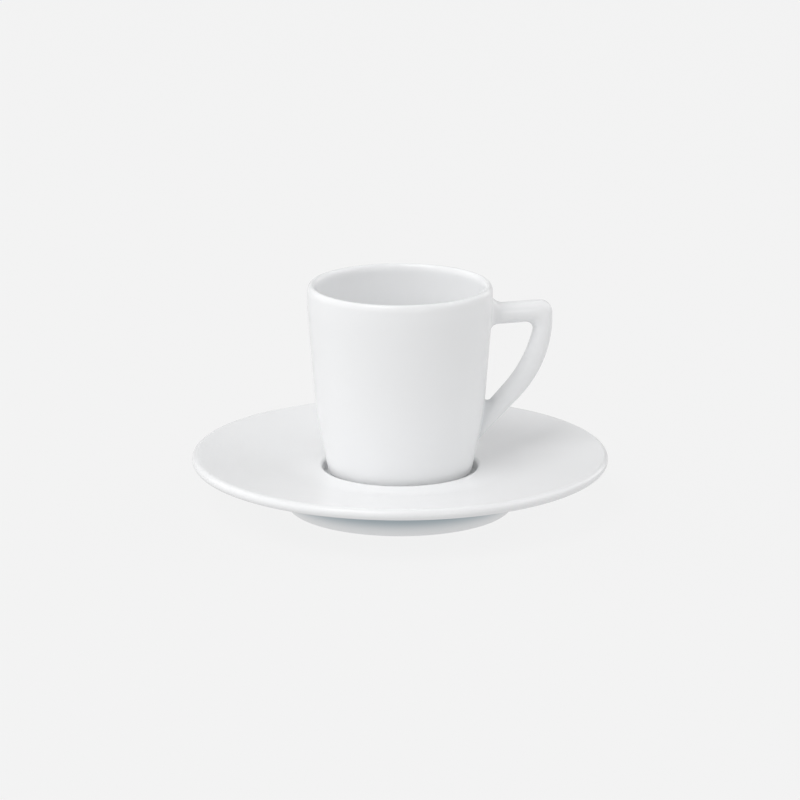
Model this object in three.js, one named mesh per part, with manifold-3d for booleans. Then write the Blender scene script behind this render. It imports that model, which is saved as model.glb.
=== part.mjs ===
// Espresso cup standing in the well of its saucer, in white glazed porcelain.
// Millimetres, +Z up. The origin is on the table, at the centre of the saucer's foot,
// and the cup's handle points along +X.
import * as THREE from "three";
import { mergeVertices } from "three/addons/utils/BufferGeometryUtils.js";
import Module from "manifold-3d";

const wasm = await Module();
wasm.setup();

// Saucer
const SAUCER_DIAMETER = 125;
const SAUCER_HEIGHT = 16.4; // from the table to the top of the rim
const RIM_THICKNESS = 3.2; // of the fully rounded rim
const FLANGE_THICKNESS = 4.4; // beside the foot
const FOOT_DIAMETER = 67.4; // outside of the foot ring, on the table
const FOOT_RING_WIDTH = 3; // of the face that stands on the table
const FOOT_RING_DRAFT = 1; // lean of the foot ring's inner wall
const FOOT_FLARE = 6; // how much the foot's outer wall widens up to the flange
const FOOT_FILLET = 3.5; // where the foot's outer wall runs into the flange
const RECESS_FILLET = 2; // at the top of the foot ring's inner wall
const SEAT_HEIGHT = 9.2; // from the table to the floor of the well
const SAUCER_FLOOR = 4.4; // thickness under the well
const WELL_DEPTH = 3.4;
const WELL_DRAFT = 0.5; // lean of the well's wall
const WELL_CLEARANCE = 1.5; // round the cup, at the top of the well
const WELL_EDGE_RADIUS = 1.1;
const WELL_FLOOR_FILLET = 1;
const SHOULDER_WIDTH = 7.5; // of the soft ring round the well
const SHOULDER_HEIGHT = 0.45; // of that ring above the lowest part of the flange
const SHOULDER_RADIUS = 40; // of the hollow between the ring and the flange

// Cup, in heights above its own foot
const CUP_HEIGHT = 59;
const MOUTH_DIAMETER = 55.4; // outside of the lip
const LIP_THICKNESS = 2.4;
const LIP_ROUNDING = 2.4; // height over which the lip rounds over
const LIP_BAND = 6; // straight part of the wall under the lip
const LIP_BAND_RADIUS = 40; // where that part runs into the taper
const WALL_THICKNESS = 3.8; // from the knee down
const WALL_TAPER = 2.5; // how far the wall has drawn in at its knee
const KNEE_HEIGHT = 19.8; // where the wall starts to draw in faster
const KNEE_RADIUS = 120;
const BASE_DIAMETER = 42.8; // corner of the wall and the underside
const BASE_RADIUS = 2.4; // rounding of that corner
const CUP_FLOOR = 5; // thickness inside the foot ring
const INSIDE_RADIUS = 8; // between the wall and the floor, inside
const CUP_FOOT_DIAMETER = 38.4; // outside of the cup's foot ring
const CUP_FOOT_WIDTH = 2.4;
const CUP_FOOT_HEIGHT = 1;
const EDGE_RADIUS = 0.4; // small rounding of both foot rings

// Handle
const HANDLE_REACH = 18.9; // from the outside of the lip to the back of the handle
const HANDLE_DROP = 7.4; // from the lip to the top of the bar, at the wall
const HANDLE_BAR_RISE = 0.45; // of the bar's far end
const HANDLE_LEG_DROP = 19.2; // from the bar's top to the corner that the leg's bend rounds off
const HANDLE_FOOT_HEIGHT = 9; // where the leg's back would meet the wall
const BAR_THICKNESS = 6.3; // seen from the side
const LEG_TOP_THICKNESS = 4.9; // under the bar, seen from the side
const LEG_ROOT_DEPTH = 9.2; // of the leg where it meets the wall, measured up the wall
const HANDLE_WIDTH = 6.8; // seen from the back
const HANDLE_CORNER_RADIUS = 3.6; // outer corner of bar and leg
const HANDLE_HOLE_RADIUS = 2.8; // the same corner, inside the finger hole
const HANDLE_LEG_RADIUS = 34; // bend of the leg, along its back
const BAR_TOP_FILLET = 4.2; // where the bar's top spreads onto the wall
const BAR_UNDER_FILLET = 3; // under the bar
const BAR_SIDE_FILLET = 2.6; // at the sides of the bar
const LEG_ROOT_FILLET = 4; // under the leg
const LEG_SIDE_FILLET = 0.6; // at the sides of the leg
const HOLE_BEND_INSET = 3.2; // how far the hole's back leans in, down to the corner that its bend rounds off
const HOLE_BEND_DROP = 12.3; // from the bar's underside to that corner
const HOLE_BEND_RADIUS = 40; // of the leg's finger side
const HOLE_BOTTOM_RADIUS = 1.8; // of the sharp corner between the leg and the wall
const HOLE_BOTTOM_SPREAD = 3; // length of that corner's rounding along the wall, in its radii
const HANDLE_SQUARENESS = 0.85; // exponent of the section: 1 is an ellipse, less is squarer
const LUTING_GAP = 0.3; // between the handle's roots and the wall

// How finely round shapes are cut
const TURN_STEPS = 48; // round the axis
const EDGE_STEPS = 2; // on a small edge
const ARC_STEPS = 4; // on a larger rounding
const LIP_STEPS = 8; // over the lip
const BEND_STEPS = 10; // on the leg's bend
const SECTION_STEPS = 16; // round the handle
const MERGE_DISTANCE = 1e-4; // points closer than this are one point

// Cup outline corners shared by the wall, the well and the handle
const mouthRadius = MOUTH_DIAMETER / 2;
const baseRadius = BASE_DIAMETER / 2;
const bandHeight = CUP_HEIGHT - LIP_BAND;
const wallCorners = [
  new THREE.Vector2(baseRadius, CUP_FOOT_HEIGHT),
  new THREE.Vector2(mouthRadius - WALL_TAPER, KNEE_HEIGHT),
  new THREE.Vector2(mouthRadius, bandHeight),
  new THREE.Vector2(mouthRadius, CUP_HEIGHT),
];

// Outside radius of the cup's wall at a height, before its corners are rounded
function wallRadius(height) {
  const upper = wallCorners.findIndex((corner, i) => i > 0 && height <= corner.y);
  const above = wallCorners.at(upper);
  const below = wallCorners.at(upper - 1);
  return THREE.MathUtils.mapLinear(height, below.y, above.y, below.x, above.x);
}

// Points of an outline whose corners are [x, y, radius, steps]; a corner without a radius stays sharp.
// A rounding gives way where its two sides are too short for it.
function roundedOutline(corners) {
  const points = corners.map(([x, y]) => new THREE.Vector2(x, y));
  const sides = points.slice(1).map((point, i) => point.clone().sub(points[i]));
  const cuts = corners.map(([, , radius = 0], i) => {
    if (!radius) return 0;
    const turn = Math.acos(sides[i - 1].dot(sides[i]) / (sides[i - 1].length() * sides[i].length()));
    return radius * Math.tan(turn / 2);
  });
  const room = sides.map((side, i) => Math.min(1, side.length() / (cuts[i] + cuts[i + 1] || 1)));
  return points.flatMap((corner, i) => {
    if (!cuts[i]) return [corner];
    const cut = cuts[i] * Math.min(room[i - 1], room[i]);
    const start = corner.clone().addScaledVector(sides[i - 1], -cut / sides[i - 1].length());
    const end = corner.clone().addScaledVector(sides[i], cut / sides[i].length());
    return roundedCorner(start, corner, end, corners[i][3]);
  });
}

// Points of the arc that leaves start and reaches end along the two sides of a corner
function roundedCorner(start, corner, end, steps) {
  const middle = start.clone().add(end).multiplyScalar(0.5);
  const half = start.distanceTo(middle);
  const rise = corner.distanceTo(middle);
  const toCentre = middle.clone().sub(corner).setLength(half * half / rise);
  const centre = middle.add(toCentre);
  const from = start.clone().sub(centre);
  const sweep = Math.atan2(from.cross(end.clone().sub(centre)), from.dot(end.clone().sub(centre)));
  const spin = (i) => start.clone().rotateAround(centre, sweep * i / steps);
  return Array.from({ length: steps + 1 }, (_, i) => spin(i));
}

// Body of revolution about Z, from an outline that runs from the axis out and up and back to the axis
function turned(corners) {
  const outline = roundedOutline(corners);
  const distinct = outline.filter((point, i) => i === 0 || point.distanceTo(outline[i - 1]) > MERGE_DISTANCE);
  const geometry = new THREE.LatheGeometry(distinct, TURN_STEPS);
  return geometry.rotateX(Math.PI / 2);
}

function solid(geometry) {
  const bare = new THREE.BufferGeometry();
  bare.setAttribute("position", geometry.getAttribute("position"));
  bare.setIndex(geometry.getIndex());
  const merged = mergeVertices(bare, MERGE_DISTANCE);
  return new wasm.Manifold(new wasm.Mesh({
    numProp: 3,
    vertProperties: new Float32Array(merged.getAttribute("position").array),
    triVerts: new Uint32Array(merged.getIndex().array),
  }));
}

function geometryOf(manifold) {
  const mesh = manifold.getMesh();
  const geometry = new THREE.BufferGeometry();
  geometry.setAttribute("position", new THREE.BufferAttribute(mesh.vertProperties, 3));
  geometry.setIndex(new THREE.BufferAttribute(mesh.triVerts, 1));
  geometry.computeVertexNormals();
  return geometry;
}

// Height at which a line that starts on the saucer and touches the rounded rim reaches the widest radius.
// The line runs over the rim where side is 1, and under it where side is -1.
function rimCorner(x, y, side) {
  const rounding = RIM_THICKNESS / 2;
  const toCentre = new THREE.Vector2(SAUCER_DIAMETER / 2 - rounding - x, SAUCER_HEIGHT - rounding - y);
  const slope = Math.tan(toCentre.angle() + side * Math.asin(rounding / toCentre.length()));
  return y + slope * (SAUCER_DIAMETER / 2 - x);
}

function saucerGeometry() {
  const rimRadius = SAUCER_DIAMETER / 2;
  const footRadius = FOOT_DIAMETER / 2;
  const recessRadius = footRadius - FOOT_RING_WIDTH;
  const recessTop = SEAT_HEIGHT - SAUCER_FLOOR;
  const wellTop = SEAT_HEIGHT + WELL_DEPTH;
  const wellRadius = wallRadius(WELL_DEPTH) + WELL_CLEARANCE;
  const troughRadius = wellRadius + SHOULDER_WIDTH;
  const troughHeight = wellTop - SHOULDER_HEIGHT;
  const kneeRadius = footRadius + FOOT_FLARE;
  const overRim = rimCorner(troughRadius, troughHeight, 1);
  const flangeTop = THREE.MathUtils.mapLinear(kneeRadius, troughRadius, rimRadius, troughHeight, overRim);
  const kneeHeight = flangeTop - FLANGE_THICKNESS;
  return turned([
    [0, recessTop],
    [recessRadius - FOOT_RING_DRAFT, recessTop, RECESS_FILLET, ARC_STEPS],
    [recessRadius, 0, EDGE_RADIUS, EDGE_STEPS],
    [footRadius, 0, EDGE_RADIUS, EDGE_STEPS],
    [kneeRadius, kneeHeight, FOOT_FILLET, ARC_STEPS],
    [rimRadius, rimCorner(kneeRadius, kneeHeight, -1), RIM_THICKNESS / 2, ARC_STEPS],
    [rimRadius, overRim, RIM_THICKNESS / 2, ARC_STEPS],
    [troughRadius, troughHeight, SHOULDER_RADIUS, ARC_STEPS],
    [wellRadius, wellTop, WELL_EDGE_RADIUS, ARC_STEPS],
    [wellRadius - WELL_DRAFT, SEAT_HEIGHT, WELL_FLOOR_FILLET, ARC_STEPS],
    [0, SEAT_HEIGHT],
  ]);
}

// Points over the lip, from the outside to the inside: half an ellipse
function lipOutline() {
  return Array.from({ length: LIP_STEPS + 1 }, (_, i) => {
    const angle = Math.PI * i / LIP_STEPS;
    const inward = LIP_THICKNESS / 2 * (1 - Math.cos(angle));
    return [mouthRadius - inward, CUP_HEIGHT - LIP_ROUNDING * (1 - Math.sin(angle))];
  });
}

function cupGeometry() {
  const footRadius = CUP_FOOT_DIAMETER / 2;
  const recessRadius = footRadius - CUP_FOOT_WIDTH;
  const floorHeight = CUP_FOOT_HEIGHT + CUP_FLOOR;
  const floorRadius = wallRadius(floorHeight) - WALL_THICKNESS;
  const [, knee, band] = wallCorners;
  return turned([
    [0, CUP_FOOT_HEIGHT],
    [recessRadius, CUP_FOOT_HEIGHT, EDGE_RADIUS, EDGE_STEPS],
    [recessRadius, 0, EDGE_RADIUS, EDGE_STEPS],
    [footRadius, 0, EDGE_RADIUS, EDGE_STEPS],
    [footRadius, CUP_FOOT_HEIGHT, EDGE_RADIUS, EDGE_STEPS],
    [baseRadius, CUP_FOOT_HEIGHT, BASE_RADIUS, ARC_STEPS],
    [knee.x, knee.y, KNEE_RADIUS, ARC_STEPS],
    [band.x, band.y, LIP_BAND_RADIUS, EDGE_STEPS],
    ...lipOutline(),
    [band.x - LIP_THICKNESS, band.y, LIP_BAND_RADIUS, EDGE_STEPS],
    [knee.x - WALL_THICKNESS, knee.y, KNEE_RADIUS, ARC_STEPS],
    [floorRadius, floorHeight, INSIDE_RADIUS, ARC_STEPS],
    [0, floorHeight],
  ]);
}

// Space that the cup's outside takes up, with the gap left for the slip that holds the handle
function cupEnvelope() {
  const outside = wallCorners.map((corner) => [corner.x + LUTING_GAP, corner.y]);
  outside[1].push(KNEE_RADIUS, ARC_STEPS);
  outside[2].push(LIP_BAND_RADIUS, EDGE_STEPS);
  return solid(turned([[0, CUP_FOOT_HEIGHT], ...outside, [0, CUP_HEIGHT]]));
}

// The handle's back and its finger side, as two outlines in the XZ plane with as many points each.
// Both run from inside the upper wall, along the bar, round the corner and down the leg into the lower wall.
function handleSides() {
  const back = mouthRadius + HANDLE_REACH;
  const top = CUP_HEIGHT - HANDLE_DROP;
  const corner = new THREE.Vector2(back, top + HANDLE_BAR_RISE);
  const bend = new THREE.Vector2(back, top - HANDLE_LEG_DROP);
  const barStart = new THREE.Vector2(wallRadius(top), top);
  const legEnd = new THREE.Vector2(wallRadius(HANDLE_FOOT_HEIGHT), HANDLE_FOOT_HEIGHT);
  const barSlope = HANDLE_BAR_RISE / (corner.x - barStart.x);

  // The finger side runs under the bar, and down the leg with a wider bend than the back's
  const front = back - LEG_TOP_THICKNESS;
  const underBar = top - BAR_THICKNESS * Math.hypot(1, barSlope);
  const innerCorner = underBar + barSlope * (front - barStart.x);
  const holeBottom = HANDLE_FOOT_HEIGHT + LEG_ROOT_DEPTH;
  const innerRootTop = holeBottom + HOLE_BOTTOM_SPREAD * HOLE_BOTTOM_RADIUS;

  const core = wallRadius(HANDLE_FOOT_HEIGHT) - WALL_THICKNESS;
  const spread = (height) => [wallRadius(height), height];
  return {
    outer: roundedOutline([
      [core, top + BAR_TOP_FILLET],
      spread(top + BAR_TOP_FILLET),
      [barStart.x, top, BAR_TOP_FILLET, ARC_STEPS],
      [corner.x, corner.y, HANDLE_CORNER_RADIUS, ARC_STEPS],
      [bend.x, bend.y, HANDLE_LEG_RADIUS, BEND_STEPS],
      [legEnd.x, legEnd.y, LEG_ROOT_FILLET, ARC_STEPS],
      spread(HANDLE_FOOT_HEIGHT - LEG_ROOT_FILLET),
      [core, HANDLE_FOOT_HEIGHT - LEG_ROOT_FILLET],
    ]),
    inner: roundedOutline([
      [core, underBar - BAR_UNDER_FILLET],
      spread(underBar - BAR_UNDER_FILLET),
      [barStart.x, underBar, BAR_UNDER_FILLET, ARC_STEPS],
      [front, innerCorner, HANDLE_HOLE_RADIUS, ARC_STEPS],
      [front - HOLE_BEND_INSET, innerCorner - HOLE_BEND_DROP, HOLE_BEND_RADIUS, BEND_STEPS],
      [wallRadius(holeBottom), holeBottom, HOLE_BOTTOM_RADIUS, ARC_STEPS],
      spread(innerRootTop),
      [core, innerRootTop],
    ]),
  };
}

// How much wider the handle gets, on each side, at a distance from the wall: a quarter round
function rootSpread(distance, fillet) {
  const depth = fillet - THREE.MathUtils.clamp(distance, 0, fillet);
  return fillet - Math.sqrt(fillet ** 2 - depth ** 2);
}

// Rounded sections set between the two sides of the handle, joined into one skin with closed ends
function handleGeometry() {
  const { outer, inner } = handleSides();
  const bulge = (wave) => Math.sign(wave) * Math.abs(wave) ** HANDLE_SQUARENESS;
  const positions = outer.flatMap((point, i) => {
    const middle = point.clone().add(inner[i]).multiplyScalar(0.5);
    const arm = point.clone().sub(middle);
    const sideFillet = i < outer.length / 2 ? BAR_SIDE_FILLET : LEG_SIDE_FILLET;
    const halfWidth = HANDLE_WIDTH / 2 + rootSpread(middle.x - wallRadius(middle.y), sideFillet);
    return Array.from({ length: SECTION_STEPS }, (_, k) => {
      const angle = 2 * Math.PI * k / SECTION_STEPS;
      const place = middle.clone().addScaledVector(arm, bulge(Math.cos(angle)));
      return [place.x, halfWidth * bulge(Math.sin(angle)), place.y];
    }).flat();
  });
  const last = (outer.length - 1) * SECTION_STEPS;
  const triangles = [];
  for (let ring = 0; ring < last; ring += SECTION_STEPS) {
    for (let k = 0; k < SECTION_STEPS; k += 1) {
      const next = (k + 1) % SECTION_STEPS;
      const [a, b, c, d] = [ring + k, ring + next, ring + SECTION_STEPS + next, ring + SECTION_STEPS + k];
      triangles.push(a, c, b, a, d, c);
    }
  }
  for (let k = 1; k < SECTION_STEPS - 1; k += 1) {
    triangles.push(0, k, k + 1, last, last + k + 1, last + k);
  }
  const skin = new THREE.BufferGeometry();
  skin.setAttribute("position", new THREE.Float32BufferAttribute(positions, 3));
  skin.setIndex(triangles);
  return geometryOf(solid(skin).subtract(cupEnvelope()));
}

function porcelain(name, geometry) {
  const glaze = new THREE.MeshStandardMaterial({ color: 0xf3f4f5, roughness: 0.12, metalness: 0 });
  const mesh = new THREE.Mesh(geometry, glaze);
  mesh.name = name;
  return mesh;
}

const cup = new THREE.Group();
cup.add(porcelain("cup_body", cupGeometry()));
cup.add(porcelain("cup_handle", handleGeometry()));
cup.position.z = SEAT_HEIGHT;

const espressoSet = new THREE.Group();
espressoSet.add(porcelain("saucer", saucerGeometry()));
espressoSet.add(cup);

export default espressoSet;
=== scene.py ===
# Espresso cup standing in the well of its saucer, in white glazed porcelain.
# The frame is in metres, +Z up, with the cup's handle along +X. Sizes here are in millimetres.
import math

import bpy
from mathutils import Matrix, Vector


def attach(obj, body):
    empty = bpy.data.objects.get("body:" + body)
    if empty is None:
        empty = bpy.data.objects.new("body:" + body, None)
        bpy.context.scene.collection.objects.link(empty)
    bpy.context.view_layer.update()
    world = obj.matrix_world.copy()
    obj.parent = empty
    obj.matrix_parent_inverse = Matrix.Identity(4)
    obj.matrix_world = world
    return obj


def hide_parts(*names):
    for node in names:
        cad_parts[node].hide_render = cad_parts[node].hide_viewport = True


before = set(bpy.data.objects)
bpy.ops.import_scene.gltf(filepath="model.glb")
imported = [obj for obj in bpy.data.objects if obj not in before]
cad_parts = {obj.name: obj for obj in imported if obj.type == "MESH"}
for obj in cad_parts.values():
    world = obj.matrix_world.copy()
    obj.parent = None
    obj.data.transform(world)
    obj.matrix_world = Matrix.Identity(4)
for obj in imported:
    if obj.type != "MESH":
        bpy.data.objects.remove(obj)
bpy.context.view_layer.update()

MM = 0.001

# Saucer
SAUCER_DIAMETER = 125
SAUCER_HEIGHT = 16.4  # from the table to the top of the rim
RIM_THICKNESS = 3.2  # of the fully rounded rim
FLANGE_THICKNESS = 4.4  # beside the foot
FOOT_DIAMETER = 67.4  # outside of the foot ring, on the table
FOOT_RING_WIDTH = 3  # of the face that stands on the table
FOOT_RING_DRAFT = 1  # lean of the foot ring's inner wall
FOOT_FLARE = 6  # how much the foot's outer wall widens up to the flange
FOOT_FILLET = 3.5  # where the foot's outer wall runs into the flange
RECESS_FILLET = 2  # at the top of the foot ring's inner wall
SEAT_HEIGHT = 9.2  # from the table to the floor of the well
SAUCER_FLOOR = 4.4  # thickness under the well
WELL_DEPTH = 3.4
WELL_DRAFT = 0.5  # lean of the well's wall
WELL_CLEARANCE = 1.5  # round the cup, at the top of the well
WELL_EDGE_RADIUS = 1.1
WELL_FLOOR_FILLET = 1
SHOULDER_WIDTH = 7.5  # of the soft ring round the well
SHOULDER_HEIGHT = 0.45  # of that ring above the lowest part of the flange
SHOULDER_RADIUS = 40  # of the hollow between the ring and the flange

# Cup, in heights above its own foot
CUP_HEIGHT = 59
MOUTH_DIAMETER = 55.4  # outside of the lip
LIP_THICKNESS = 2.4
LIP_ROUNDING = 2.4  # height over which the lip rounds over
LIP_BAND = 6  # straight part of the wall under the lip
LIP_BAND_RADIUS = 40  # where that part runs into the taper
WALL_THICKNESS = 3.8  # from the knee down
WALL_TAPER = 2.5  # how far the wall has drawn in at its knee
KNEE_HEIGHT = 19.8  # where the wall starts to draw in faster
KNEE_RADIUS = 120
BASE_DIAMETER = 42.8  # corner of the wall and the underside
BASE_RADIUS = 2.4  # rounding of that corner
CUP_FLOOR = 5  # thickness inside the foot ring
INSIDE_RADIUS = 8  # between the wall and the floor, inside
CUP_FOOT_DIAMETER = 38.4  # outside of the cup's foot ring
CUP_FOOT_WIDTH = 2.4
CUP_FOOT_HEIGHT = 1
EDGE_RADIUS = 0.4  # small rounding of both foot rings

# Handle
HANDLE_REACH = 18.9  # from the outside of the lip to the back of the handle
HANDLE_DROP = 7.4  # from the lip to the top of the bar, at the wall
HANDLE_BAR_RISE = 0.45  # of the bar's far end
HANDLE_LEG_DROP = 19.2  # from the bar's top to the corner that the leg's bend rounds off
HANDLE_FOOT_HEIGHT = 9  # where the leg's back would meet the wall
BAR_THICKNESS = 6.3  # seen from the side
LEG_TOP_THICKNESS = 4.9  # under the bar, seen from the side
LEG_ROOT_DEPTH = 9.2  # of the leg where it meets the wall, measured up the wall
HANDLE_WIDTH = 6.8  # seen from the back
HANDLE_CORNER_RADIUS = 3.6  # outer corner of bar and leg
HANDLE_HOLE_RADIUS = 2.8  # the same corner, inside the finger hole
HANDLE_LEG_RADIUS = 34  # bend of the leg, along its back
BAR_TOP_FILLET = 4.2  # where the bar's top spreads onto the wall
BAR_UNDER_FILLET = 3  # under the bar
BAR_SIDE_FILLET = 2.6  # at the sides of the bar
LEG_ROOT_FILLET = 4  # under the leg
LEG_SIDE_FILLET = 0.6  # at the sides of the leg
HOLE_BEND_INSET = 3.2  # how far the hole's back leans in, down to the corner that its bend rounds off
HOLE_BEND_DROP = 12.3  # from the bar's underside to that corner
HOLE_BEND_RADIUS = 40  # of the leg's finger side
HOLE_BOTTOM_RADIUS = 1.8  # of the sharp corner between the leg and the wall
HOLE_BOTTOM_SPREAD = 3  # length of that corner's rounding along the wall, in its radii
HANDLE_SQUARENESS = 0.85  # exponent of the section: 1 is an ellipse, less is squarer
ROOT_SINK = 0.8  # how deep the handle's ends are set into the wall
ROOT_BITE = 0.02  # how far its fillets start under the wall's skin
ROOT_WRAP = 7  # distance from the wall over which the root follows the wall's roundness

# Where glaze runs together, and where shade is painted into it in hollows, creases and under the flange:
# its reach along the outline, and how much of it
# Pooled glaze and painted shade in the corners of both foot rings and round the cup's inside floor.
RECESS_POOL_AND_SHADE = (2.5, 0.4)  # inside the saucer's foot ring
# Painted shade on the upper part of the saucer's foot, where the flange above shadows it, in the bluish
# grey of pooled glaze.
FOOT_PAINTED_SHADE = (4, 1)  # between the saucer's foot and its flange
FOOT_SHADE_PLACE = 0.7  # of the way up the foot's outer wall
CUP_FOOT_POOL_AND_SHADE = (1.2, 0.4)  # on both sides of the cup's foot ring
INSIDE_POOL_AND_SHADE = (5, 0.12)  # round the cup's floor
INSIDE_SHADE_OFFSET = 3  # from the corner of wall and floor, inwards and upwards
# Painted shade in the crevice between the leg and the cup's wall.
LEG_ROOT_SHADE = 0.2  # how much of it at the leg's root

# How finely round shapes are cut
TURN_STEPS = 256  # round the axis
ARC_STEPS = 10  # on a rounding
LIP_STEPS = 24  # over the lip
BEND_STEPS = 36  # on the leg's bend
SECTION_STEPS = 56  # round the handle
OUTLINE_SPACING = 1.0  # longest step along an outline
ON_AXIS = 1e-6  # radius under which a point counts as on the axis
SHORTEST_SIDE = 1e-9  # keeps a side with no roundings from dividing by zero

# Camera, as the photograph was taken
CAMERA_AZIMUTH = -12  # degrees, from straight in front
CAMERA_ELEVATION = 15.36
CAMERA_DISTANCE = 1300
CAMERA_BASE = 30  # height that the distance and elevation are taken from
CAMERA_LENS = 195.1
CAMERA_AIM = 32.4  # height that the picture is centred on
SENSOR_WIDTH = 36


# Outlines

def rounded_corner(start, corner, end, steps):
    """Points of the arc that leaves start and reaches end along the two sides of a corner."""
    middle = (start + end) / 2
    half = (start - middle).length
    rise = (corner - middle).length
    centre = middle + (middle - corner) * (half / rise) ** 2
    first = start - centre
    last = end - centre
    sweep = math.atan2(first.x * last.y - first.y * last.x, first.dot(last))
    points = []
    for i in range(steps + 1):
        angle = sweep * i / steps
        turned_x = first.x * math.cos(angle) - first.y * math.sin(angle)
        turned_y = first.x * math.sin(angle) + first.y * math.cos(angle)
        points.append(centre + Vector((turned_x, turned_y)))
    return points


def rounded_outline(corners):
    """Points of an outline whose corners are (x, y, radius, steps); the last two may be left out.

    A rounding gives way where its two sides are too short for it."""
    points = [Vector(corner[:2]) for corner in corners]
    sides = [b - a for a, b in zip(points, points[1:])]
    cuts = []
    for i, corner in enumerate(corners):
        rounded = len(corner) > 2
        cuts.append(corner[2] * math.tan(sides[i - 1].angle(sides[i]) / 2) if rounded else 0)
    room = [min(1, side.length / max(cuts[i] + cuts[i + 1], SHORTEST_SIDE)) for i, side in enumerate(sides)]
    outline = []
    for i, corner in enumerate(points):
        if not cuts[i]:
            outline.append(corner)
            continue
        cut = cuts[i] * min(room[i - 1], room[i])
        start = corner - sides[i - 1].normalized() * cut
        end = corner + sides[i].normalized() * cut
        steps = corners[i][3] if len(corners[i]) > 3 else ARC_STEPS
        outline += rounded_corner(start, corner, end, steps)
    return outline


def subdivided(outlines):
    """The same outlines with extra points, as many in each, so that no step is long."""
    fuller = [[outline[0]] for outline in outlines]
    for i in range(len(outlines[0]) - 1):
        longest = max((outline[i + 1] - outline[i]).length for outline in outlines)
        parts = max(1, math.ceil(longest / OUTLINE_SPACING))
        for part in range(1, parts + 1):
            for outline, made in zip(outlines, fuller):
                made.append(outline[i].lerp(outline[i + 1], part / parts))
    return fuller


mouth_radius = MOUTH_DIAMETER / 2
base_radius = BASE_DIAMETER / 2
wall_corners = [
    (base_radius, CUP_FOOT_HEIGHT),
    (mouth_radius - WALL_TAPER, KNEE_HEIGHT, KNEE_RADIUS),
    (mouth_radius, CUP_HEIGHT - LIP_BAND, LIP_BAND_RADIUS),
    (mouth_radius, CUP_HEIGHT),
]
wall_outline = rounded_outline(wall_corners)


def between(value, low, high, at_low, at_high):
    return at_low + (at_high - at_low) * (value - low) / (high - low)


def wall_radius(height, outline=wall_outline):
    """Outside radius of the cup's wall at a height."""
    upper = next(i for i, point in enumerate(outline) if i and height <= point[1])
    below = outline[upper - 1]
    above = outline[upper]
    return between(height, below[1], above[1], below[0], above[0])


def plain_wall_radius(height):
    """The same radius before the wall's corners are rounded."""
    return wall_radius(height, wall_corners)


def smooth_step(value):
    value = min(max(value, 0), 1)
    return value * value * (3 - 2 * value)


# Meshes

def new_piece(name, points, faces, pool_shades, body):
    """A smooth mesh object of one of the CAD nodes, with how much pooled glaze and painted shade lies at
    each point.
    """
    mesh = bpy.data.meshes.new(name)
    mesh.from_pydata([point * MM for point in points], [], faces)
    mesh.shade_smooth()
    glaze = mesh.attributes.new("glaze_pool_and_shade", "FLOAT", "POINT")
    glaze.data.foreach_set("value", pool_shades)
    piece = bpy.data.objects.new(name, mesh)
    bpy.context.collection.objects.link(piece)
    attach(piece, body)
    return piece


def turned(name, corners, base, hollows, body):
    """Body of revolution about Z, from an outline that starts and ends on the axis.

    Glaze runs together in the hollows, with painted shade darkening them; each hollow is (radius, height,
    reach along the outline, how much)."""
    outline = subdivided([rounded_outline(corners)])[0]
    along = [0]
    for before, after in zip(outline, outline[1:]):
        along.append(along[-1] + (after - before).length)
    deepest = []
    for radius, height, reach, amount in hollows:
        hollow = Vector((radius, height))
        nearest = min(range(len(outline)), key=lambda i: (outline[i] - hollow).length)
        deepest.append((along[nearest], reach, amount))
    points = []
    pool_shades = []
    rings = []
    for place, distance in zip(outline, along):
        pool_shade = max(amount * math.exp(-((distance - at) / reach) ** 2) for at, reach, amount in deepest)
        ring = []
        for k in range(TURN_STEPS if place.x > ON_AXIS else 1):
            angle = 2 * math.pi * k / TURN_STEPS
            ring.append(len(points))
            points.append(Vector((place.x * math.cos(angle), place.x * math.sin(angle), place.y + base)))
            pool_shades.append(pool_shade)
        rings.append(ring)
    faces = []
    for lower, upper in zip(rings, rings[1:]):
        for k in range(TURN_STEPS):
            here = k % len(lower), k % len(upper)
            after = (k + 1) % len(lower), (k + 1) % len(upper)
            corners_here = [lower[here[0]], lower[after[0]], upper[after[1]], upper[here[1]]]
            faces.append(list(dict.fromkeys(corners_here)))
    return new_piece(name, points, faces, pool_shades, body)


def rim_corner(x, y, side):
    """Height at which a line from the saucer, touching the rounded rim, reaches the widest radius.

    The line runs over the rim where side is 1, and under it where side is -1."""
    rounding = RIM_THICKNESS / 2
    to_centre = Vector((SAUCER_DIAMETER / 2 - rounding - x, SAUCER_HEIGHT - rounding - y))
    slope = math.atan2(to_centre.y, to_centre.x) + side * math.asin(rounding / to_centre.length)
    return y + math.tan(slope) * (SAUCER_DIAMETER / 2 - x)


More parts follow.
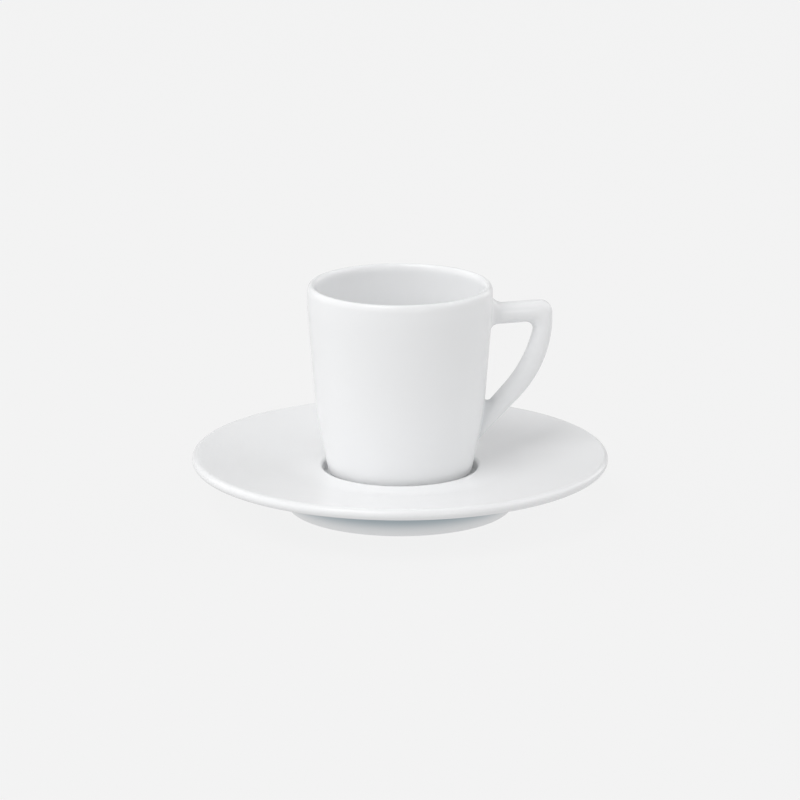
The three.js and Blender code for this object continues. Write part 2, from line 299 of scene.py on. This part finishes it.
def make_saucer():
    rim_radius = SAUCER_DIAMETER / 2
    foot_radius = FOOT_DIAMETER / 2
    recess_radius = foot_radius - FOOT_RING_WIDTH
    recess_top = SEAT_HEIGHT - SAUCER_FLOOR
    well_top = SEAT_HEIGHT + WELL_DEPTH
    well_radius = plain_wall_radius(WELL_DEPTH) + WELL_CLEARANCE
    trough_radius = well_radius + SHOULDER_WIDTH
    trough_height = well_top - SHOULDER_HEIGHT
    knee_radius = foot_radius + FOOT_FLARE
    over_rim = rim_corner(trough_radius, trough_height, 1)
    flange_top = between(knee_radius, trough_radius, rim_radius, trough_height, over_rim)
    knee_height = flange_top - FLANGE_THICKNESS
    corners = [
        (0, recess_top),
        (recess_radius - FOOT_RING_DRAFT, recess_top, RECESS_FILLET),
        (recess_radius, 0, EDGE_RADIUS),
        (foot_radius, 0, EDGE_RADIUS),
        (knee_radius, knee_height, FOOT_FILLET),
        (rim_radius, rim_corner(knee_radius, knee_height, -1), RIM_THICKNESS / 2),
        (rim_radius, over_rim, RIM_THICKNESS / 2),
        (trough_radius, trough_height, SHOULDER_RADIUS),
        (well_radius, well_top, WELL_EDGE_RADIUS),
        (well_radius - WELL_DRAFT, SEAT_HEIGHT, WELL_FLOOR_FILLET),
        (0, SEAT_HEIGHT),
    ]
    # Pooled glaze and painted shade in the corner of the saucer's foot ring.
    hollows = [
        (recess_radius - FOOT_RING_DRAFT, recess_top, *RECESS_POOL_AND_SHADE),
        # Painted shade under the flange, high on the foot's outer wall.
        (foot_radius + FOOT_SHADE_PLACE * FOOT_FLARE, FOOT_SHADE_PLACE * knee_height, *FOOT_PAINTED_SHADE),
    ]
    saucer = turned("saucer_porcelain", corners, 0, hollows, "saucer")
    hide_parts("saucer")
    return saucer


def lip_outline():
    """Points over the lip, from the outside to the inside: half an ellipse."""
    outline = []
    for i in range(LIP_STEPS + 1):
        angle = math.pi * i / LIP_STEPS
        inward = LIP_THICKNESS / 2 * (1 - math.cos(angle))
        outline.append((mouth_radius - inward, CUP_HEIGHT - LIP_ROUNDING * (1 - math.sin(angle))))
    return outline


def make_cup():
    foot_radius = CUP_FOOT_DIAMETER / 2
    recess_radius = foot_radius - CUP_FOOT_WIDTH
    floor_height = CUP_FOOT_HEIGHT + CUP_FLOOR
    floor_radius = plain_wall_radius(floor_height) - WALL_THICKNESS
    _, knee, band, _ = wall_corners
    corners = [
        (0, CUP_FOOT_HEIGHT),
        (recess_radius, CUP_FOOT_HEIGHT, EDGE_RADIUS),
        (recess_radius, 0, EDGE_RADIUS),
        (foot_radius, 0, EDGE_RADIUS),
        (foot_radius, CUP_FOOT_HEIGHT, EDGE_RADIUS),
        (base_radius, CUP_FOOT_HEIGHT, BASE_RADIUS),
        knee,
        band,
        *lip_outline(),
        (band[0] - LIP_THICKNESS, band[1], LIP_BAND_RADIUS),
        (knee[0] - WALL_THICKNESS, knee[1], KNEE_RADIUS),
        (floor_radius, floor_height, INSIDE_RADIUS),
        (0, floor_height),
    ]
    # Pooled glaze and painted shade round the cup's foot ring and its inside floor.
    hollows = [
        (recess_radius, CUP_FOOT_HEIGHT, *CUP_FOOT_POOL_AND_SHADE),
        (foot_radius, CUP_FOOT_HEIGHT, *CUP_FOOT_POOL_AND_SHADE),
        (floor_radius - INSIDE_SHADE_OFFSET, floor_height + INSIDE_SHADE_OFFSET, *INSIDE_POOL_AND_SHADE),
    ]
    cup = turned("cup_porcelain", corners, SEAT_HEIGHT, hollows, "cup")
    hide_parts("cup_body")
    return cup


def handle_sides():
    """The handle's back and its finger side, as two outlines in the XZ plane with as many points each.

    Both run from inside the upper wall, along the bar, round the corner and down the leg into the wall."""
    back = mouth_radius + HANDLE_REACH
    top = CUP_HEIGHT - HANDLE_DROP
    bend_height = top - HANDLE_LEG_DROP
    bar_start = plain_wall_radius(top)
    leg_end = Vector((plain_wall_radius(HANDLE_FOOT_HEIGHT), HANDLE_FOOT_HEIGHT))
    bar_slope = HANDLE_BAR_RISE / (back - bar_start)

    front = back - LEG_TOP_THICKNESS
    under_bar = top - BAR_THICKNESS * math.hypot(1, bar_slope)
    inner_corner = under_bar + bar_slope * (front - bar_start)
    hole_bottom = HANDLE_FOOT_HEIGHT + LEG_ROOT_DEPTH
    inner_root_top = hole_bottom + HOLE_BOTTOM_SPREAD * HOLE_BOTTOM_RADIUS

    def spread(height, sink=ROOT_BITE):
        return wall_radius(height) - sink, height

    outer = rounded_outline([
        spread(top + BAR_TOP_FILLET, ROOT_SINK),
        spread(top + BAR_TOP_FILLET),
        (bar_start, top, BAR_TOP_FILLET),
        (back, top + HANDLE_BAR_RISE, HANDLE_CORNER_RADIUS),
        (back, bend_height, HANDLE_LEG_RADIUS, BEND_STEPS),
        (leg_end.x, leg_end.y, LEG_ROOT_FILLET),
        spread(HANDLE_FOOT_HEIGHT - LEG_ROOT_FILLET),
        spread(HANDLE_FOOT_HEIGHT - LEG_ROOT_FILLET, ROOT_SINK),
    ])
    inner = rounded_outline([
        spread(under_bar - BAR_UNDER_FILLET, ROOT_SINK),
        spread(under_bar - BAR_UNDER_FILLET),
        (bar_start, under_bar, BAR_UNDER_FILLET),
        (front, inner_corner, HANDLE_HOLE_RADIUS),
        (front - HOLE_BEND_INSET, inner_corner - HOLE_BEND_DROP, HOLE_BEND_RADIUS, BEND_STEPS),
        (plain_wall_radius(hole_bottom), hole_bottom, HOLE_BOTTOM_RADIUS),
        spread(inner_root_top),
        spread(inner_root_top, ROOT_SINK),
    ])
    return subdivided([outer, inner])


def root_spread(distance, fillet):
    """How much wider the handle gets, on each side, at a distance from the wall: a quarter round."""
    depth = fillet - min(max(distance, 0), fillet)
    return fillet - math.sqrt(fillet ** 2 - depth ** 2)


def bulge(wave):
    return math.copysign(abs(wave) ** HANDLE_SQUARENESS, wave)


def make_handle():
    """Rounded sections set between the two sides of the handle, joined into one skin with closed ends."""
    outer, inner = handle_sides()
    points = []
    pool_shades = []
    for i, (back, front) in enumerate(zip(outer, inner)):
        middle = (back + front) / 2
        arm = back - middle
        distance = middle.x - wall_radius(middle.y)
        on_bar = i < len(outer) / 2
        side_fillet = BAR_SIDE_FILLET if on_bar else LEG_SIDE_FILLET
        # Painted shade in the crevice at the leg's root; none at the bar's root.
        root_shade = 0 if on_bar else LEG_ROOT_SHADE
        half_width = HANDLE_WIDTH / 2 + root_spread(distance, side_fillet)
        wrap = 1 - smooth_step(distance / ROOT_WRAP)
        for k in range(SECTION_STEPS):
            angle = 2 * math.pi * k / SECTION_STEPS
            place = middle + arm * bulge(math.cos(angle))
            side = half_width * bulge(math.sin(angle))
            radius = wall_radius(place.y)
            roundness = radius - math.sqrt(radius ** 2 - side ** 2)
            points.append(Vector((place.x - wrap * roundness, side, place.y + SEAT_HEIGHT)))
            pool_shades.append(root_shade * math.exp(-(max(distance, 0) / HOLE_BOTTOM_RADIUS) ** 2))
    faces = []
    rings = len(outer)
    for ring in range(rings - 1):
        for k in range(SECTION_STEPS):
            here = ring * SECTION_STEPS + k
            beside = ring * SECTION_STEPS + (k + 1) % SECTION_STEPS
            faces.append([here, here + SECTION_STEPS, beside + SECTION_STEPS, beside])
    faces.append(list(range(SECTION_STEPS)))
    last = (rings - 1) * SECTION_STEPS
    faces.append(list(range(last + SECTION_STEPS - 1, last - 1, -1)))
    handle = new_piece("handle_porcelain", points, faces, pool_shades, "cup")
    for edge in handle.data.edges:
        ring, other_ring = (vertex // SECTION_STEPS for vertex in edge.vertices)
        edge.use_edge_sharp = ring == other_ring and ring in (1, rings - 2)
    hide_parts("cup_handle")
    return handle


# Materials

def shader_nodes(name):
    material = bpy.data.materials.new(name)
    material.use_nodes = True
    nodes = material.node_tree.nodes
    return material, nodes, material.node_tree.links, nodes["Principled BSDF"]


def noise(nodes, links, scale, detail):
    """A noise over the object, in cells per metre."""
    place = nodes.new("ShaderNodeTexCoord")
    texture = nodes.new("ShaderNodeTexNoise")
    texture.inputs["Scale"].default_value = scale
    texture.inputs["Detail"].default_value = detail
    links.new(place.outputs["Object"], texture.inputs["Vector"])
    return texture.outputs["Fac"]


def ranged(nodes, links, value, low, high, start=0, end=1):
    """A value between start and end spread over another range."""
    spread = nodes.new("ShaderNodeMapRange")
    spread.inputs["From Min"].default_value = start
    spread.inputs["From Max"].default_value = end
    spread.inputs["To Min"].default_value = low
    spread.inputs["To Max"].default_value = high
    links.new(value, spread.inputs["Value"])
    return spread.outputs["Result"]


def mixed(nodes, links, factor, first, second):
    """A colour between two others; each of them is a plain colour or another node's output."""
    mix = nodes.new("ShaderNodeMix")
    mix.data_type = "RGBA"
    links.new(factor, mix.inputs["Factor"])
    for socket, colour in ((mix.inputs[6], first), (mix.inputs[7], second)):
        if isinstance(colour, bpy.types.NodeSocket):
            links.new(colour, socket)
        else:
            socket.default_value = (*colour, 1)
    return mix.outputs[2]


def bumped(nodes, links, height, depth, below=None):
    """A bump of a depth in millimetres, on top of another one."""
    bump = nodes.new("ShaderNodeBump")
    bump.inputs["Strength"].default_value = 1
    bump.inputs["Distance"].default_value = depth * MM
    links.new(height, bump.inputs["Height"])
    if below:
        links.new(below, bump.inputs["Normal"])
    return bump.outputs["Normal"]


GLAZE_WHITE = (0.885, 0.89, 0.897)
GLAZE_SHADE = (0.875, 0.881, 0.889)  # where the glaze is a little thicker
# Dark bluish grey of pooled glaze, deepened into painted shade for hollows, creases and the foot under the
# flange.
GLAZE_POOL_AND_SHADE = (0.38, 0.45, 0.49)  # where it has run together
CLAY_PALE = (0.80, 0.785, 0.76)
CLAY_DARK = (0.70, 0.68, 0.65)

# Unevenness of glaze and clay: noises as (cells per metre, detail), depths in millimetres
CLOUD_NOISE = (25, 2)  # of the white
GLOSS_NOISE = (60, 2)
GLOSS_RANGE = (0.22, 0.28)  # roughness of the glaze
RIPPLE_NOISE = (45, 1)  # slow waves of the surface
RIPPLE_DEPTH = 0.02
PEEL_NOISE = (700, 1)  # fine skin of the glaze
PEEL_DEPTH = 0.0006
GLAZE_IOR = 1.5
GRAIN_NOISE = (1800, 6)  # of the bare clay
GRAIN_RANGE = (0.6, 0.85)  # roughness of the clay
GRAIN_DEPTH = 0.05
FACING_DOWN = -0.95  # upward part of a standing face's normal
STANDING_LAYER = 0.1  # height over which a face counts as standing on its base


def glaze_material():
    material, nodes, links, shader = shader_nodes("glazed_porcelain")
    cloud = noise(nodes, links, *CLOUD_NOISE)
    white = mixed(nodes, links, cloud, GLAZE_WHITE, GLAZE_SHADE)
    # Pooled glaze and painted shade: darker bluish grey by the amount stored at each point.
    pool_shade = nodes.new("ShaderNodeAttribute")
    pool_shade.attribute_name = "glaze_pool_and_shade"
    links.new(mixed(nodes, links, pool_shade.outputs["Fac"], white, GLAZE_POOL_AND_SHADE), shader.inputs["Base Color"])
    gloss = noise(nodes, links, *GLOSS_NOISE)
    links.new(ranged(nodes, links, gloss, *GLOSS_RANGE), shader.inputs["Roughness"])
    ripple = bumped(nodes, links, noise(nodes, links, *RIPPLE_NOISE), RIPPLE_DEPTH)
    peel = bumped(nodes, links, noise(nodes, links, *PEEL_NOISE), PEEL_DEPTH, ripple)
    links.new(peel, shader.inputs["Normal"])
    shader.inputs["IOR"].default_value = GLAZE_IOR
    return material


def clay_material():
    material, nodes, links, shader = shader_nodes("bare_clay")
    grain = noise(nodes, links, *GRAIN_NOISE)
    links.new(mixed(nodes, links, grain, CLAY_DARK, CLAY_PALE), shader.inputs["Base Color"])
    links.new(ranged(nodes, links, grain, *GRAIN_RANGE), shader.inputs["Roughness"])
    links.new(bumped(nodes, links, grain, GRAIN_DEPTH), shader.inputs["Normal"])
    return material


def bare_foot(piece, base, clay):
    """Leaves the clay bare on the flat face that a piece stands on."""
    piece.data.materials.append(clay)
    for face in piece.data.polygons:
        if face.normal.z < FACING_DOWN and face.center.z < (base + STANDING_LAYER) * MM:
            face.material_index = 1


saucer = make_saucer()
cup = make_cup()
handle = make_handle()
glaze = glaze_material()
clay = clay_material()
for piece in (saucer, cup, handle):
    piece.data.materials.append(glaze)
bare_foot(saucer, 0, clay)
bare_foot(cup, SEAT_HEIGHT, clay)


# Stage

FLOOR_SIZE = 12000
FLOOR_COLOUR = (0.04, 0.04, 0.04)
FLOOR_ROUGHNESS = 0.9
FLOOR_SPECULAR = 0.1
FLOOR_GLOW = 0.845  # a light table, so the set throws hardly any shadow
LIGHT_ABOVE = 0.38  # even light from all round the room
LIGHT_BELOW = 0.74  # thrown back from the table
LIGHT_BLEND = 0.1  # height, on a unit sphere, over which one gives way to the other
LAMP_DISTANCE = 2  # in metres, from the middle of the set
LAMP_TARGET = Vector((0, 0, 0.03))

# Softboxes: name, degrees round from the camera to the right, degrees up, width, height, watts
# Their sizes are in metres.
SOFTBOXES = [
    ("front", 24, 12, 0.4, 0.4, 2.2),
    ("front_left", -30, 18, 1.2, 0.9, 2.8),
    ("high_left", -36, 58, 1.2, 1.2, 15),
    ("side_left", -88, 28, 3.4, 1.8, 17.5),
    ("side_right", 96, 36, 2.4, 1.6, 12.2),
    ("back_left", -135, 25, 1.6, 1.6, 2.8),
    ("back_right", 135, 12, 0.8, 0.8, 3),
    ("back", 180, 12, 0.8, 0.8, 0.4),
]


def make_floor():
    """A pale floor that shows behind the set and doesn't light it."""
    half = FLOOR_SIZE / 2 * MM
    mesh = bpy.data.meshes.new("floor")
    corners = [(-half, -half, 0), (half, -half, 0), (half, half, 0), (-half, half, 0)]
    mesh.from_pydata(corners, [], [(0, 1, 2, 3)])
    material, _, _, shader = shader_nodes("pale_floor")
    shader.inputs["Base Color"].default_value = (*FLOOR_COLOUR, 1)
    shader.inputs["Roughness"].default_value = FLOOR_ROUGHNESS
    shader.inputs["Specular IOR Level"].default_value = FLOOR_SPECULAR
    shader.inputs["Emission Color"].default_value = (1, 1, 1, 1)
    shader.inputs["Emission Strength"].default_value = FLOOR_GLOW
    mesh.materials.append(material)
    floor = bpy.data.objects.new("floor", mesh)
    bpy.context.collection.objects.link(floor)
    floor.visible_diffuse = False
    floor.visible_glossy = False


def aimed(thing, place, target):
    """Puts a lamp or camera at a place, facing its target."""
    thing.location = place
    thing.rotation_euler = (target - place).to_track_quat("-Z", "Y").to_euler()


def direction(azimuth, elevation):
    """Unit vector from the set, by degrees round from straight in front to the right and degrees up."""
    around = math.radians(azimuth)
    up = math.radians(elevation)
    return Vector((math.sin(around) * math.cos(up), -math.cos(around) * math.cos(up), math.sin(up)))


def make_softbox(name, azimuth, elevation, width, height, power):
    """A flat lamp that faces the set."""
    lamp = bpy.data.lights.new(name, "AREA")
    lamp.shape = "RECTANGLE"
    lamp.size = width
    lamp.size_y = height
    lamp.energy = power
    light = bpy.data.objects.new(name, lamp)
    bpy.context.collection.objects.link(light)
    place = LAMP_TARGET + direction(CAMERA_AZIMUTH + azimuth, elevation) * LAMP_DISTANCE
    aimed(light, place, LAMP_TARGET)


def make_world():
    """Even light from above the horizon, and another strength from below it."""
    world = bpy.data.worlds.new("studio")
    world.use_nodes = True
    nodes = world.node_tree.nodes
    links = world.node_tree.links
    place = nodes.new("ShaderNodeTexCoord")
    height = nodes.new("ShaderNodeSeparateXYZ")
    links.new(place.outputs["Generated"], height.inputs["Vector"])
    up = height.outputs["Z"]
    strength = ranged(nodes, links, up, LIGHT_BELOW, LIGHT_ABOVE, -LIGHT_BLEND, LIGHT_BLEND)
    background = nodes["Background"]
    background.inputs["Color"].default_value = (1, 1, 1, 1)
    links.new(strength, background.inputs["Strength"])
    bpy.context.scene.world = world


def make_camera():
    lens = bpy.data.cameras.new("camera")
    lens.lens = CAMERA_LENS
    lens.sensor_width = SENSOR_WIDTH
    camera = bpy.data.objects.new("camera", lens)
    bpy.context.collection.objects.link(camera)
    place = Vector((0, 0, CAMERA_BASE)) + direction(CAMERA_AZIMUTH, CAMERA_ELEVATION) * CAMERA_DISTANCE
    aimed(camera, place * MM, Vector((0, 0, CAMERA_AIM)) * MM)
    bpy.context.scene.camera = camera


make_floor()
make_world()
for settings in SOFTBOXES:
    make_softbox(*settings)
make_camera()
bpy.context.scene.view_settings.view_transform = "Standard"
